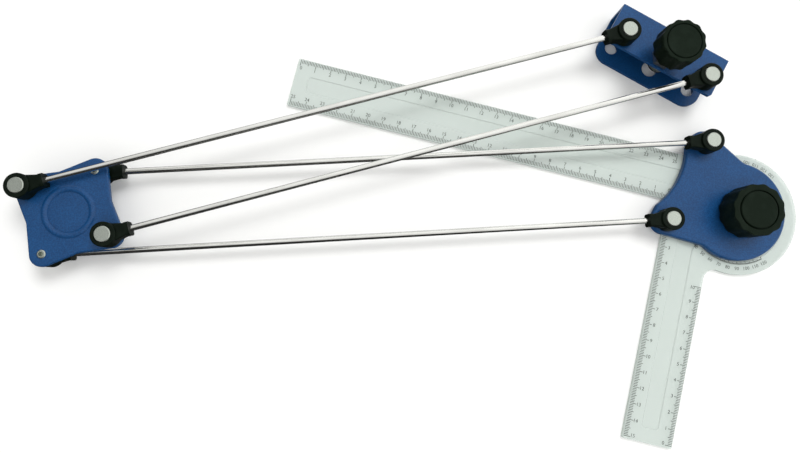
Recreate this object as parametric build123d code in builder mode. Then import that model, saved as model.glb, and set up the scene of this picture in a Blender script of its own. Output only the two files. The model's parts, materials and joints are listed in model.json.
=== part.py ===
"""Mini drafter: a board clamp, two parallel-rod arms, an elbow plate and a head with a turning L scale.

All sizes are in millimetres. +Z points up along every pivot. The origin is the centre of the inner face of
the clamp's back wall, which the edge of a drawing board is pushed against, and the board comes in from -Y.
"""
import os
from math import cos, hypot, radians, sin

from build123d import *

# ---- plan of the linkage ----
UPPER_SPAN = 371.5          # pivot to pivot along the clamp's two rods
LOWER_SPAN = 376.5          # pivot to pivot along the head's two rods
PIVOT_PITCH = 56.7          # between the two pivots of a pair
UPPER_ARM_ANGLE = 224.6     # from the clamp to the elbow
LOWER_ARM_ANGLE = 32.7      # from the elbow to the head
HEAD_REACH = 41.0           # from the head's pivot line to the hub
SCALE_ANGLE = 15.5          # the long arm of the scale against the clamp

# ---- clamp ----
SHEET = 2.5                 # wall of the clamp frame
PIVOT_SETBACK = 16.7        # from the back wall to the pivot line
TOP_OVERHANG = 7.3          # top wall in front of the pivot line
JAW_OVERHANG = 10.9         # jaw in front of the pivot line
CLAMP_END = 8.8             # from a pivot to the end of the frame
JAW_CORNER_R = 9.5
TOP_CORNER_R = 2.0
BEND_INNER_R = 0.8
BEND_OUTER_R = 1.8
ACCESS_HOLE_R = 4.1         # jaw holes under the pivots
SCREW_HOLE_R = 4.9          # jaw hole under the screw

# ---- clamp screw ----
SCREW_R = 4.0
THREAD_GAP = 0.05           # radial clearance of every thread and bearing
BUSH_R = 5.5                # part of the threaded bush that is pressed into the wall
NUT_ACROSS = 13.0           # hexagon of the bush above the wall
NUT_H = 4.0
PAD_R = 6.5
PAD_T = 2.5
FACING_T = 1.0              # rubber under the pad
PAD_GAP = 11.5              # pad to jaw as it stands
BALL_R = 2.6                # tip of the screw inside the pad
BALL_DEPTH = 1.5
KNOB_RISE = 13.0            # underside of the knob's grip over the top wall
COLLAR_R = 7.6
COLLAR_H = 3.8
SCREW_IN_KNOB = 9.0

# ---- pivots ----
PIN_R = 3.0
TAIL_R = 2.0                # riveted end that passes through a plate
TAIL_PROUD = 0.7
TAIL_FLARE_R = 2.5
TAIL_BORE_R = 1.35
TAIL_BORE_DEPTH = 3.0
CAP_R = 4.6
CAP_SINK = 0.8              # depth of the eye's recess under the cap
CAP_PROUD = 0.6
CAP_EDGE = 0.35
RECESS_GAP = 0.25           # around the cap
WASHER_R = 6.2
WASHER_T = 0.5
RUN_GAP = 0.05              # axial clearance at every eye

# ---- rods and their moulded ends ----
ROD_R = 1.8
EYE_R = 7.2
EYE_H = 10.0
EYE_EDGE_R = 0.7
NECK_END = 14.3             # from the pivot to the open end of the socket
NECK_COLLAR = 2.4           # length of the collar at the open end
NECK_ROOT_HALF = 5.2        # half width where the neck leaves the eye
NECK_HALF = 3.3             # half width before the collar
COLLAR_HALF = 4.0
NECK_H = 7.2
NECK_EDGE_R = 1.0
SOCKET_START = 8.6          # from the pivot to the bottom of the socket

# ---- elbow plate ----
ELBOW_T = 2.5
ELBOW_BODY_R = 24.6         # from the centre to the waist between two lobes
LOBE_R = 7.4
WAIST_R = 6.0
BEAD_R = 13.8               # middle of the raised ring
BEAD_HALF = 1.9
BEAD_H = 0.9
DISH_DEPTH = 0.3            # floor inside the ring, under the plate's face

# ---- head ----
HEAD_T = 2.5
HEAD_ROUND_R = 31.6
HEAD_ROUND_BACK = 3.0       # centre of the round, behind the hub
EAR_R = 8.6
EAR_NECK_R = 29.4           # body behind the ears, which sets the slope of the flanks
EAR_NECK_X = -9.3           # its centre, from that of the round
FLANK_R = 9.0               # hollow where a flank meets the round
NAPE_DEPTH = 4.6            # hollow between the ears
NAPE_R = 50.0
NAPE_CORNER_R = 4.0
SKIRT_T = 1.8               # turned-down rim of the head plate
SKIRT_LIFT = 0.4            # rim over the scale
HEAD_EDGE_R = 1.6
ELBOW_EDGE_R = 0.9
SCALE_GAP = 2.4             # scale to head plate
HEAD_SPACER_T = 1.0         # head plate to its eyes

# ---- hub and head knob ----
HUB_R = 5.0
HUB_FLAT = 4.0              # half width across the flats that key the hub in the head plate
FLANGE_R = 12.0
FLANGE_T = 1.2
FLANGE_LIFT = 0.2           # flange over the drawing
FLANGE_GAP = 0.1            # flange to the floor of its recess, and around it
BUSHING_R = 8.0             # bearing ring pressed into the scale
FRICTION_R = 17.0
KNOB_WASHER_R = 9.0
KNOB_WASHER_T = 1.0
INSERT_R = 6.0
INSERT_H = 11.0
STUD_RISE = 12.5            # threaded end of the hub over the head plate
HEAD_KNOB_R = 16.1
HEAD_KNOB_H = 17.0
HEAD_CAP_R = 11.3
CLAMP_KNOB_R = 13.2
CLAMP_KNOB_H = 13.5
CLAMP_CAP_R = 9.6
KNOB_LOBES = 12
LOBE_CUT_R = 3.0            # cutter of one grip hollow
LOBE_CUT_DEPTH = 0.95
LOBE_EDGE_R = 0.7
KNOB_EDGE_R = 1.0
KNOB_CAP_T = 1.6
KNOB_CAP_PROUD = 0.3
KNOB_CAP_GAP = 0.35         # groove around the cap
KNOB_CAP_EDGE = 0.5

# ---- scale ----
SCALE_T = 3.0
SCALE_W = 31.4              # width of both arms
LONG_ARM = 297.1            # hub to the end of the long arm
SHORT_ARM = 153.7           # hub to the end of the short arm
LONG_EDGE = 29.8            # hub to the outer edge of the long arm
SHORT_EDGE = 45.1           # hub to the outer edge of the short arm
SCALE_DISC_R = 39.0
COVE_R = 7.0                # hollow between the disc and the short arm
SHOULDER_R = 4.0            # between the disc and the long arm
INNER_CORNER_R = 2.0
SCALE_CORNER_R = 0.8
SCALE_EDGE = 0.3
CHANNEL_W = 11.0
CHANNEL_DEPTH = 0.7
CHANNEL_FLARE = 40.0        # lean of the channel's sides, in degrees
CHANNEL_END = 9.0           # from a free end to its channel
CHANNEL_R = 2.0
RING_CHANNEL_INNER_R = 19.0 # shallow ring about the hub that both channels run into
RING_CHANNEL_OUTER_R = 31.0
RING_CHANNEL_JOIN_R = 5.0   # where a channel's side meets the ring
CHANNEL_JOIN_R = 3.0        # where the two channels meet

# ---- levels, from the surface that the clamp and the scale stand on ----
HEAD_STACK = SCALE_T + SCALE_GAP + HEAD_T + HEAD_SPACER_T + 2 * RUN_GAP + EYE_H
MOUTH = HEAD_STACK + WASHER_T + ELBOW_T - 2 * SHEET     # jaw to top wall, so that both arms lie level
SEAT_Z = -MOUTH / 2
TABLE_Z = SEAT_Z - SHEET
TOP_UNDER_Z = MOUTH / 2
TOP_Z = TOP_UNDER_Z + SHEET
ELBOW_TOP_Z = TOP_Z
ELBOW_UNDER_Z = ELBOW_TOP_Z - ELBOW_T
UPPER_EYE_Z = TOP_Z + WASHER_T + RUN_GAP
LOWER_EYE_Z = ELBOW_UNDER_Z - WASHER_T - RUN_GAP - EYE_H
SCALE_TOP_Z = TABLE_Z + SCALE_T
HEAD_UNDER_Z = SCALE_TOP_Z + SCALE_GAP
HEAD_TOP_Z = HEAD_UNDER_Z + HEAD_T
GRIP_Z = TOP_Z + KNOB_RISE
PAD_Z = SEAT_Z + PAD_GAP
PAD_TOP_Z = PAD_Z + FACING_T + PAD_T
FLANGE_TOP_Z = TABLE_Z + FLANGE_LIFT + FLANGE_T
RECESS_TOP_Z = FLANGE_TOP_Z + FLANGE_GAP
KNOB_WASHER_TOP_Z = HEAD_TOP_Z + KNOB_WASHER_T


def along(point, angle, distance):
    """The plan point at a distance from another one, in a direction in degrees."""
    x, y = point
    return (x + distance * cos(radians(angle)), y + distance * sin(radians(angle)))


def pair_x(middle):
    """The two pivots of a pair that lies along X."""
    x, y = middle
    return [(x - PIVOT_PITCH / 2, y), (x + PIVOT_PITCH / 2, y)]


def pair_y(middle):
    """The two pivots of a pair that lies along Y."""
    x, y = middle
    return [(x, y - PIVOT_PITCH / 2), (x, y + PIVOT_PITCH / 2)]


def standing(point, z, angle=0.0):
    """A level plane at a plan point, its X turned by an angle and its normal up."""
    direction = (cos(radians(angle)), sin(radians(angle)), 0)
    return Plane(origin=(*point, z), x_dir=direction, z_dir=(0, 0, 1))


def hanging(point, z, angle=0.0):
    """A level plane at a plan point, its X turned by an angle and its normal down."""
    direction = (cos(radians(angle)), sin(radians(angle)), 0)
    return Plane(origin=(*point, z), x_dir=direction, z_dir=(0, 0, -1))


CLAMP_MID = (0.0, -PIVOT_SETBACK)
ELBOW_MID = along(CLAMP_MID, UPPER_ARM_ANGLE, UPPER_SPAN)
HEAD_MID = along(ELBOW_MID, LOWER_ARM_ANGLE, LOWER_SPAN)
HUB = (HEAD_MID[0] + HEAD_REACH, HEAD_MID[1])


def turned(label, planes, outline):
    """Round pieces about the normal of each plane, from (radius, height) corners."""
    with BuildPart() as pieces:
        for plane in planes:
            with BuildSketch(Plane(origin=plane.origin, x_dir=plane.x_dir, z_dir=-plane.y_dir)):
                with BuildLine():
                    Polyline(*outline, close=True)
                make_face()
            revolve(axis=Axis(plane.origin, plane.z_dir))
    pieces.part.label = label
    export_step(pieces.part, f"parts/{label}.step")


def pin_outline(plate_t, spacer_t):
    """One pivot pin over a plate's face: riveted tail, shank and cap, as (radius, height) corners."""
    tail_end = -plate_t - TAIL_PROUD
    cap_under = spacer_t + RUN_GAP + EYE_H - CAP_SINK + RUN_GAP
    cap_top = spacer_t + RUN_GAP + EYE_H + CAP_PROUD
    return [
        (0, tail_end + TAIL_BORE_DEPTH),
        (TAIL_BORE_R, tail_end + TAIL_BORE_DEPTH),
        (TAIL_BORE_R, tail_end),
        (TAIL_R, tail_end),
        (TAIL_FLARE_R, -plate_t - TAIL_PROUD / 2),
        (TAIL_FLARE_R, -plate_t),
        (TAIL_R, -plate_t),
        (TAIL_R, 0),
        (PIN_R, 0),
        (PIN_R, cap_under),
        (CAP_R, cap_under),
        (CAP_R, cap_top - CAP_EDGE),
        (CAP_R - CAP_EDGE, cap_top),
        (0, cap_top),
    ]


def washers(label, planes, thickness):
    """A pair of washers between a plate and its eyes."""
    with BuildPart() as rings:
        for plane in planes:
            with BuildSketch(plane):
                Circle(WASHER_R)
                Circle(PIN_R + THREAD_GAP, mode=Mode.SUBTRACT)
            extrude(amount=thickness)
    rings.part.label = label
    export_step(rings.part, f"parts/{label}.step")


def rod(label, start, angle, span, eye_z):
    """One steel rod between the sockets of its two ends."""
    first = along(start, angle, SOCKET_START)
    axis_plane = Plane(
        origin=(*first, eye_z + EYE_H / 2),
        z_dir=(cos(radians(angle)), sin(radians(angle)), 0),
    )
    with BuildPart() as bar:
        with BuildSketch(axis_plane):
            Circle(ROD_R)
        extrude(amount=span - 2 * SOCKET_START)
    bar.part.label = label
    export_step(bar.part, f"parts/{label}.step")


def rod_end(label, plane):
    """One moulded eye with the socket that holds a rod, on the plane of the face that meets its washer."""
    middle = plane.offset(EYE_H / 2)
    collar_start = NECK_END - NECK_COLLAR
    collar = Plane(middle.from_local_coords((collar_start, 0, 0)), x_dir=plane.y_dir, z_dir=plane.x_dir)
    socket = Plane(middle.from_local_coords((SOCKET_START, 0, 0)), x_dir=plane.y_dir, z_dir=plane.x_dir)
    with BuildPart() as end:
        with BuildSketch(middle):
            with BuildLine():
                Polyline(
                    (0, -NECK_ROOT_HALF),
                    (EYE_R * 0.7, -NECK_ROOT_HALF),
                    (NECK_END - NECK_COLLAR / 2, -NECK_HALF),
                    (NECK_END - NECK_COLLAR / 2, NECK_HALF),
                    (EYE_R * 0.7, NECK_ROOT_HALF),
                    (0, NECK_ROOT_HALF),
                    close=True,
                )
            make_face()
        extrude(amount=NECK_H / 2, both=True)
        long_edges = end.edges().filter_by(lambda edge: abs(edge.tangent_at(0.5).dot(plane.x_dir)) > 0.9)
        fillet(long_edges, NECK_EDGE_R)
        with BuildSketch(collar):
            RectangleRounded(2 * COLLAR_HALF, 2 * COLLAR_HALF, 2 * NECK_EDGE_R)
        extrude(amount=NECK_COLLAR)
        with BuildSketch(plane):
            Circle(EYE_R)
        extrude(amount=EYE_H)
        rims = end.edges().filter_by(GeomType.CIRCLE).filter_by(lambda edge: edge.radius > EYE_R - 0.01)
        rims = rims.filter_by(lambda edge: abs(middle.to_local_coords(edge.center()).Z) > EYE_H * 0.49)
        fillet(rims, EYE_EDGE_R)
        with BuildSketch(plane):
            Circle(PIN_R + THREAD_GAP)
        extrude(amount=EYE_H, mode=Mode.SUBTRACT)
        with BuildSketch(plane.offset(EYE_H - CAP_SINK)):
            Circle(CAP_R + RECESS_GAP)
        extrude(amount=CAP_SINK, mode=Mode.SUBTRACT)
        with BuildSketch(socket):
            Circle(ROD_R)
        extrude(amount=NECK_END, mode=Mode.SUBTRACT)
    end.part.label = label
    export_step(end.part, f"parts/{label}.step")


def knob(label, middle, z, grip_r, grip_h, cap_r, collar_h, bore_r, bore_h):
    """A lobed knob, bored from below for its screw or insert and recessed on top for its cap."""
    with BuildPart() as grip:
        with BuildSketch(standing(middle, z)) as star:
            Circle(grip_r)
            with PolarLocations(grip_r + LOBE_CUT_R - LOBE_CUT_DEPTH, KNOB_LOBES):
                Circle(LOBE_CUT_R, mode=Mode.SUBTRACT)
            fillet(star.vertices(), LOBE_EDGE_R)
        extrude(amount=grip_h)
        fillet(grip.faces().sort_by(Axis.Z)[-1].edges(), KNOB_EDGE_R)
        if collar_h > 0:
            with BuildSketch(standing(middle, z - collar_h)):
                Circle(COLLAR_R)
            extrude(amount=collar_h)
        with BuildSketch(standing(middle, z - collar_h)):
            Circle(bore_r)
        extrude(amount=collar_h + bore_h, mode=Mode.SUBTRACT)
        with BuildSketch(standing(middle, z + grip_h - KNOB_CAP_T)):
            Circle(cap_r + KNOB_CAP_GAP)
        extrude(amount=KNOB_CAP_T, mode=Mode.SUBTRACT)
    grip.part.label = label
    export_step(grip.part, f"parts/{label}.step")


def knob_cap(label, middle, z, cap_r):
    """The disc that closes the top of a knob, proud of its rim and slightly dished."""
    with BuildPart() as cap:
        with BuildSketch(standing(middle, z - KNOB_CAP_T)):
            Circle(cap_r)
        extrude(amount=KNOB_CAP_T + KNOB_CAP_PROUD)
        fillet(cap.edges().group_by(Axis.Z)[-1], KNOB_CAP_EDGE)
    cap.part.label = label
    export_step(cap.part, f"parts/{label}.step")


os.makedirs("parts", exist_ok=True)

# ---- clamp frame: one folded strip, open towards -Y ----
with BuildPart() as clamp_frame:
    with BuildSketch(Plane.YZ) as fold:
        with BuildLine():
            Polyline(
                (-PIVOT_SETBACK - JAW_OVERHANG, SEAT_Z),
                (0, SEAT_Z),
                (0, TOP_UNDER_Z),
                (-PIVOT_SETBACK - TOP_OVERHANG, TOP_UNDER_Z),
                (-PIVOT_SETBACK - TOP_OVERHANG, TOP_Z),
                (SHEET, TOP_Z),
                (SHEET, TABLE_Z),
                (-PIVOT_SETBACK - JAW_OVERHANG, TABLE_Z),
                close=True,
            )
        make_face()
        fillet(fold.vertices().filter_by(lambda v: abs(v.Y) < 0.01), BEND_INNER_R)
        fillet(fold.vertices().filter_by(lambda v: abs(v.Y - SHEET) < 0.01), BEND_OUTER_R)
    extrude(amount=PIVOT_PITCH / 2 + CLAMP_END, both=True)
    uprights = clamp_frame.edges().filter_by(Axis.Z)
    fillet(uprights.filter_by(lambda e: e.center().Y < -PIVOT_SETBACK - JAW_OVERHANG + 0.01), JAW_CORNER_R)
    top_front = clamp_frame.edges().filter_by(Axis.Z).filter_by(lambda e: e.center().Z > TOP_UNDER_Z)
    fillet(top_front.filter_by(lambda e: e.center().Y < -PIVOT_SETBACK), TOP_CORNER_R)
    for pivot in pair_x(CLAMP_MID):
        with BuildSketch(standing(pivot, TABLE_Z)):
            Circle(ACCESS_HOLE_R)
        extrude(amount=SHEET, mode=Mode.SUBTRACT)
        with BuildSketch(standing(pivot, TOP_UNDER_Z)):
            Circle(TAIL_R)
        extrude(amount=SHEET, mode=Mode.SUBTRACT)
    with BuildSketch(standing(CLAMP_MID, TABLE_Z)):
        Circle(SCREW_HOLE_R)
    extrude(amount=SHEET, mode=Mode.SUBTRACT)
    with BuildSketch(standing(CLAMP_MID, TOP_UNDER_Z)):
        Circle(BUSH_R)
    extrude(amount=SHEET, mode=Mode.SUBTRACT)
clamp_frame.part.label = "clamp_frame"
export_step(clamp_frame.part, "parts/clamp_frame.step")

# ---- threaded bush of the clamp screw ----
with BuildPart() as clamp_bush:
    with BuildSketch(standing(CLAMP_MID, TOP_UNDER_Z)):
        Circle(BUSH_R)
    extrude(amount=SHEET)
    with BuildSketch(standing(CLAMP_MID, TOP_Z)):
        RegularPolygon(NUT_ACROSS / 2, 6, major_radius=False)
    extrude(amount=NUT_H)
    with BuildSketch(standing(CLAMP_MID, TOP_UNDER_Z)):
        Circle(SCREW_R + THREAD_GAP)
    extrude(amount=SHEET + NUT_H, mode=Mode.SUBTRACT)
clamp_bush.part.label = "clamp_bush"
export_step(clamp_bush.part, "parts/clamp_bush.step")

# ---- clamp screw, its pad, and the pad's rubber face ----
turned(
    "clamp_screw",
    [standing(CLAMP_MID, PAD_TOP_Z)],
    [
        (0, -BALL_DEPTH),
        (BALL_R, -BALL_DEPTH),
        (BALL_R, RUN_GAP),
        (SCREW_R, RUN_GAP + SCREW_R - BALL_R),
        (SCREW_R, GRIP_Z + SCREW_IN_KNOB - PAD_TOP_Z),
        (0, GRIP_Z + SCREW_IN_KNOB - PAD_TOP_Z),
    ],
)

with BuildPart() as clamp_pad:
    with BuildSketch(standing(CLAMP_MID, PAD_Z + FACING_T)):
        Circle(PAD_R)
    extrude(amount=PAD_T)
    chamfer(clamp_pad.edges().group_by(Axis.Z)[-1], CAP_EDGE)
    with BuildSketch(standing(CLAMP_MID, PAD_TOP_Z - BALL_DEPTH - RUN_GAP)):
        Circle(BALL_R + THREAD_GAP)
    extrude(amount=BALL_DEPTH + RUN_GAP, mode=Mode.SUBTRACT)
clamp_pad.part.label = "clamp_pad"
export_step(clamp_pad.part, "parts/clamp_pad.step")

with BuildPart() as clamp_pad_facing:
    with BuildSketch(standing(CLAMP_MID, PAD_Z)):
        Circle(PAD_R)
    extrude(amount=FACING_T)
clamp_pad_facing.part.label = "clamp_pad_facing"
export_step(clamp_pad_facing.part, "parts/clamp_pad_facing.step")

knob(
    "clamp_knob",
    CLAMP_MID,
    GRIP_Z,
    CLAMP_KNOB_R,
    CLAMP_KNOB_H,
    CLAMP_CAP_R,
    COLLAR_H,
    SCREW_R,
    SCREW_IN_KNOB,
)
knob_cap("clamp_knob_cap", CLAMP_MID, GRIP_Z + CLAMP_KNOB_H, CLAMP_CAP_R)

# ---- pivots of the clamp, the elbow and the head ----
clamp_pivots = [standing(pivot, TOP_Z) for pivot in pair_x(CLAMP_MID)]
elbow_top_pivots = [standing(pivot, ELBOW_TOP_Z) for pivot in pair_x(ELBOW_MID)]
elbow_under_pivots = [hanging(pivot, ELBOW_UNDER_Z) for pivot in pair_y(ELBOW_MID)]
head_pivots = [standing(pivot, HEAD_TOP_Z) for pivot in pair_y(HEAD_MID)]

turned("clamp_pivot_pins", clamp_pivots, pin_outline(SHEET, WASHER_T))
turned("elbow_upper_pins", elbow_top_pivots, pin_outline(ELBOW_T, WASHER_T))
turned("elbow_lower_pins", elbow_under_pivots, pin_outline(ELBOW_T, WASHER_T))
turned("head_pivot_pins", head_pivots, pin_outline(HEAD_T, HEAD_SPACER_T))
washers("clamp_washers", clamp_pivots, WASHER_T)
washers("elbow_upper_washers", elbow_top_pivots, WASHER_T)
washers("elbow_lower_washers", elbow_under_pivots, WASHER_T)
washers("head_spacers", head_pivots, HEAD_SPACER_T)

# ---- rods and rod ends ----
for name, clamp_pivot, elbow_pivot in zip("ab", pair_x(CLAMP_MID), pair_x(ELBOW_MID)):
    rod(f"upper_rod_{name}", clamp_pivot, UPPER_ARM_ANGLE, UPPER_SPAN, UPPER_EYE_Z)
    rod_end(f"upper_rod_{name}_clamp_end", standing(clamp_pivot, UPPER_EYE_Z, UPPER_ARM_ANGLE))
    rod_end(f"upper_rod_{name}_elbow_end", standing(elbow_pivot, UPPER_EYE_Z, UPPER_ARM_ANGLE + 180))

for name, elbow_pivot, head_pivot in zip("ab", pair_y(ELBOW_MID), pair_y(HEAD_MID)):
    rod(f"lower_rod_{name}", elbow_pivot, LOWER_ARM_ANGLE, LOWER_SPAN, LOWER_EYE_Z)
    rod_end(f"lower_rod_{name}_elbow_end", hanging(elbow_pivot, LOWER_EYE_Z + EYE_H, LOWER_ARM_ANGLE))
    rod_end(f"lower_rod_{name}_head_end", standing(head_pivot, LOWER_EYE_Z, LOWER_ARM_ANGLE + 180))

# ---- elbow plate: four lobes about a dished middle ----
elbow_plane = standing(ELBOW_MID, ELBOW_UNDER_Z)
with BuildSketch(Plane.XY) as elbow_lobe:
    Circle(ELBOW_BODY_R)
    with Locations((PIVOT_PITCH / 2, 0)):
        Circle(LOBE_R)
    make_hull()
with BuildSketch(Plane.XY) as elbow_outline:
    with PolarLocations(0, 4):
        add(elbow_lobe.sketch)
    fillet(elbow_outline.vertices().filter_by(lambda v: hypot(v.X, v.Y) < ELBOW_BODY_R + 1), WAIST_R)
with BuildPart() as elbow_plate:
    with BuildSketch(elbow_plane):
        add(elbow_outline.sketch)
    extrude(amount=ELBOW_T)
    fillet(elbow_plate.faces().sort_by(Axis.Z)[-1].edges(), ELBOW_EDGE_R)
    with BuildSketch(Plane(origin=(*ELBOW_MID, ELBOW_TOP_Z), x_dir=(1, 0, 0), z_dir=(0, -1, 0))):
        with BuildLine():
            ThreePointArc((BEAD_R - BEAD_HALF, 0), (BEAD_R, BEAD_H), (BEAD_R + BEAD_HALF, 0))
            Polyline(
                (BEAD_R + BEAD_HALF, 0),
                (BEAD_R + BEAD_HALF, -ELBOW_T / 2),
                (BEAD_R - BEAD_HALF, -ELBOW_T / 2),
                (BEAD_R - BEAD_HALF, 0),
            )
        make_face()
    revolve(axis=Axis(elbow_plane.origin, (0, 0, 1)))
    with BuildSketch(elbow_plane.offset(ELBOW_T - DISH_DEPTH)):
        Circle(BEAD_R - BEAD_HALF)
    extrude(amount=DISH_DEPTH, mode=Mode.SUBTRACT)
    for pivot in pair_x(ELBOW_MID) + pair_y(ELBOW_MID):
        with BuildSketch(standing(pivot, ELBOW_UNDER_Z)):
            Circle(TAIL_R)
        extrude(amount=ELBOW_T, mode=Mode.SUBTRACT)
elbow_plate.part.label = "elbow_plate"
export_step(elbow_plate.part, "parts/elbow_plate.step")

# ---- head plate: a round body with two ears and a turned-down rim ----
EAR_X = HEAD_ROUND_BACK - HEAD_REACH
HEAD_ROUND = (HUB[0] - HEAD_ROUND_BACK, HUB[1])
with BuildSketch(Plane.XY) as head_ears:
    with Locations((EAR_X, -PIVOT_PITCH / 2), (EAR_X, PIVOT_PITCH / 2)):
        Circle(EAR_R)
    with Locations((EAR_NECK_X, 0)):
        Circle(EAR_NECK_R)
    make_hull()
with BuildSketch(Plane.XY) as head_outline:
    Circle(HEAD_ROUND_R)
    add(head_ears.sketch)
    flanks = head_outline.vertices().filter_by(lambda v: abs(v.Y) > HEAD_ROUND_R / 2 and v.X > EAR_X + EAR_R)
    fillet(flanks.filter_by(lambda v: abs(hypot(v.X, v.Y) - HEAD_ROUND_R) < 0.01), FLANK_R)
    with Locations((EAR_X - EAR_R + NAPE_DEPTH - NAPE_R, 0)):
        Circle(NAPE_R, mode=Mode.SUBTRACT)
    nape = head_outline.vertices().filter_by(lambda v: v.X < EAR_X and abs(v.Y) < PIVOT_PITCH / 2)
    fillet(nape, NAPE_CORNER_R)
with BuildSketch(Plane.XY) as head_inner:
    add(head_outline.sketch)
    offset(amount=-SKIRT_T, mode=Mode.REPLACE)
head_plane = standing(HUB, HEAD_UNDER_Z)
with BuildPart() as head_plate:
    with BuildSketch(standing(HEAD_ROUND, HEAD_UNDER_Z)):
        add(head_outline.sketch)
    extrude(amount=HEAD_T)
    fillet(head_plate.faces().sort_by(Axis.Z)[-1].edges(), HEAD_EDGE_R)
    with BuildSketch(standing(HEAD_ROUND, SCALE_TOP_Z + SKIRT_LIFT)):
        add(head_outline.sketch)
        add(head_inner.sketch, mode=Mode.SUBTRACT)
    extrude(amount=SCALE_GAP - SKIRT_LIFT)
    with BuildSketch(head_plane):
        Circle(HUB_R)
        Rectangle(2 * HUB_R, 2 * HUB_FLAT, mode=Mode.INTERSECT)
    extrude(amount=HEAD_T, mode=Mode.SUBTRACT)
    for pivot in pair_y(HEAD_MID):
        with BuildSketch(standing(pivot, HEAD_UNDER_Z)):
            Circle(TAIL_R)
        extrude(amount=HEAD_T, mode=Mode.SUBTRACT)
head_plate.part.label = "head_plate"
export_step(head_plate.part, "parts/head_plate.step")

# ---- hub: a wide flange under the scale, a keyed shank and a threaded stud ----
with BuildPart() as hub:
    with BuildSketch(standing(HUB, TABLE_Z + FLANGE_LIFT)):
        Circle(FLANGE_R)
    extrude(amount=FLANGE_T)
    with BuildSketch(standing(HUB, FLANGE_TOP_Z)):
        Circle(HUB_R)
    extrude(amount=HEAD_UNDER_Z - FLANGE_TOP_Z)
    with BuildSketch(head_plane):
        Circle(HUB_R)
        Rectangle(2 * HUB_R, 2 * HUB_FLAT, mode=Mode.INTERSECT)
    extrude(amount=HEAD_T)
    with BuildSketch(standing(HUB, HEAD_TOP_Z)):
        Circle(SCREW_R)
    extrude(amount=STUD_RISE)
    chamfer(hub.edges().group_by(Axis.Z)[-1], CAP_EDGE)
hub.part.label = "hub"
export_step(hub.part, "parts/hub.step")

with BuildPart() as friction_ring:
    with BuildSketch(standing(HUB, SCALE_TOP_Z + RUN_GAP)):
        Circle(FRICTION_R)
        Circle(HUB_R, mode=Mode.SUBTRACT)
    extrude(amount=SCALE_GAP - RUN_GAP)
friction_ring.part.label = "friction_ring"
export_step(friction_ring.part, "parts/friction_ring.step")

# ---- head knob with its washer, threaded insert and cap ----
with BuildPart() as knob_washer:
    with BuildSketch(standing(HUB, HEAD_TOP_Z)):
        Circle(KNOB_WASHER_R)
        Circle(SCREW_R + THREAD_GAP, mode=Mode.SUBTRACT)
    extrude(amount=KNOB_WASHER_T)
knob_washer.part.label = "knob_washer"
export_step(knob_washer.part, "parts/knob_washer.step")

head_knob_z = KNOB_WASHER_TOP_Z + RUN_GAP
knob("head_knob", HUB, head_knob_z, HEAD_KNOB_R, HEAD_KNOB_H, HEAD_CAP_R, 0, INSERT_R, STUD_RISE + RUN_GAP)
knob_cap("head_knob_cap", HUB, head_knob_z + HEAD_KNOB_H, HEAD_CAP_R)
with BuildPart() as knob_insert:
    with BuildSketch(standing(HUB, head_knob_z)):
        Circle(INSERT_R)
        Circle(SCREW_R + THREAD_GAP, mode=Mode.SUBTRACT)
    extrude(amount=INSERT_H)
knob_insert.part.label = "knob_insert"
export_step(knob_insert.part, "parts/knob_insert.step")

# ---- L scale with its protractor disc, on the hub's centre with the long arm along -X ----
scale_plane = standing(HUB, TABLE_Z, SCALE_ANGLE)
with BuildSketch(Plane.XY) as scale_outline:
    with Locations(((-LONG_ARM) / 2, LONG_EDGE - SCALE_W / 2)):
        Rectangle(LONG_ARM, SCALE_W)
    with Locations((-SHORT_EDGE + SCALE_W / 2, (LONG_EDGE - SHORT_ARM) / 2)):
        Rectangle(SCALE_W, LONG_EDGE + SHORT_ARM)
    Circle(SCALE_DISC_R)
    on_disc = scale_outline.vertices().filter_by(lambda v: abs(hypot(v.X, v.Y) - SCALE_DISC_R) < 0.01)
    fillet(on_disc.sort_by(Axis.Y)[0], COVE_R)
    on_disc = scale_outline.vertices().filter_by(lambda v: abs(hypot(v.X, v.Y) - SCALE_DISC_R) < 0.01)
    fillet(on_disc.sort_by(Axis.Y)[-1], SHOULDER_R)
    inner_corner = scale_outline.vertices().sort_by_distance((-SHORT_EDGE, LONG_EDGE - SCALE_W))[0]
    fillet(inner_corner, INNER_CORNER_R)
    free_corners = scale_outline.vertices().filter_by(lambda v: v.X < 1 - LONG_ARM or v.Y < 1 - SHORT_ARM)
    fillet(free_corners, SCALE_CORNER_R)
with BuildSketch(Plane.XY) as scale_channels:
    channel_y = LONG_EDGE - SCALE_W / 2
    channel_x = SCALE_W / 2 - SHORT_EDGE
    long_channel = LONG_ARM - CHANNEL_END - RING_CHANNEL_INNER_R
    with Locations((CHANNEL_END - LONG_ARM + long_channel / 2, channel_y)):
        Rectangle(long_channel, CHANNEL_W)
    short_channel = SHORT_ARM - CHANNEL_END + channel_y
    with Locations((channel_x, CHANNEL_END - SHORT_ARM + short_channel / 2)):
        Rectangle(CHANNEL_W, short_channel)
    Circle(RING_CHANNEL_OUTER_R)
    Circle(RING_CHANNEL_INNER_R, mode=Mode.SUBTRACT)
    at_ring = scale_channels.vertices()
    at_ring = at_ring.filter_by(lambda v: abs(hypot(v.X, v.Y) - RING_CHANNEL_OUTER_R) < 0.01)
    fillet(at_ring, RING_CHANNEL_JOIN_R)
    ends = scale_channels.vertices().filter_by(
        lambda v: v.X < CHANNEL_END - LONG_ARM + 1 or v.Y < CHANNEL_END - SHORT_ARM + 1
    )
    fillet(ends, CHANNEL_R)
    crossing = (channel_x - CHANNEL_W / 2, channel_y - CHANNEL_W / 2)
    fillet(scale_channels.vertices().sort_by_distance(crossing)[0], CHANNEL_JOIN_R)
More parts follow.
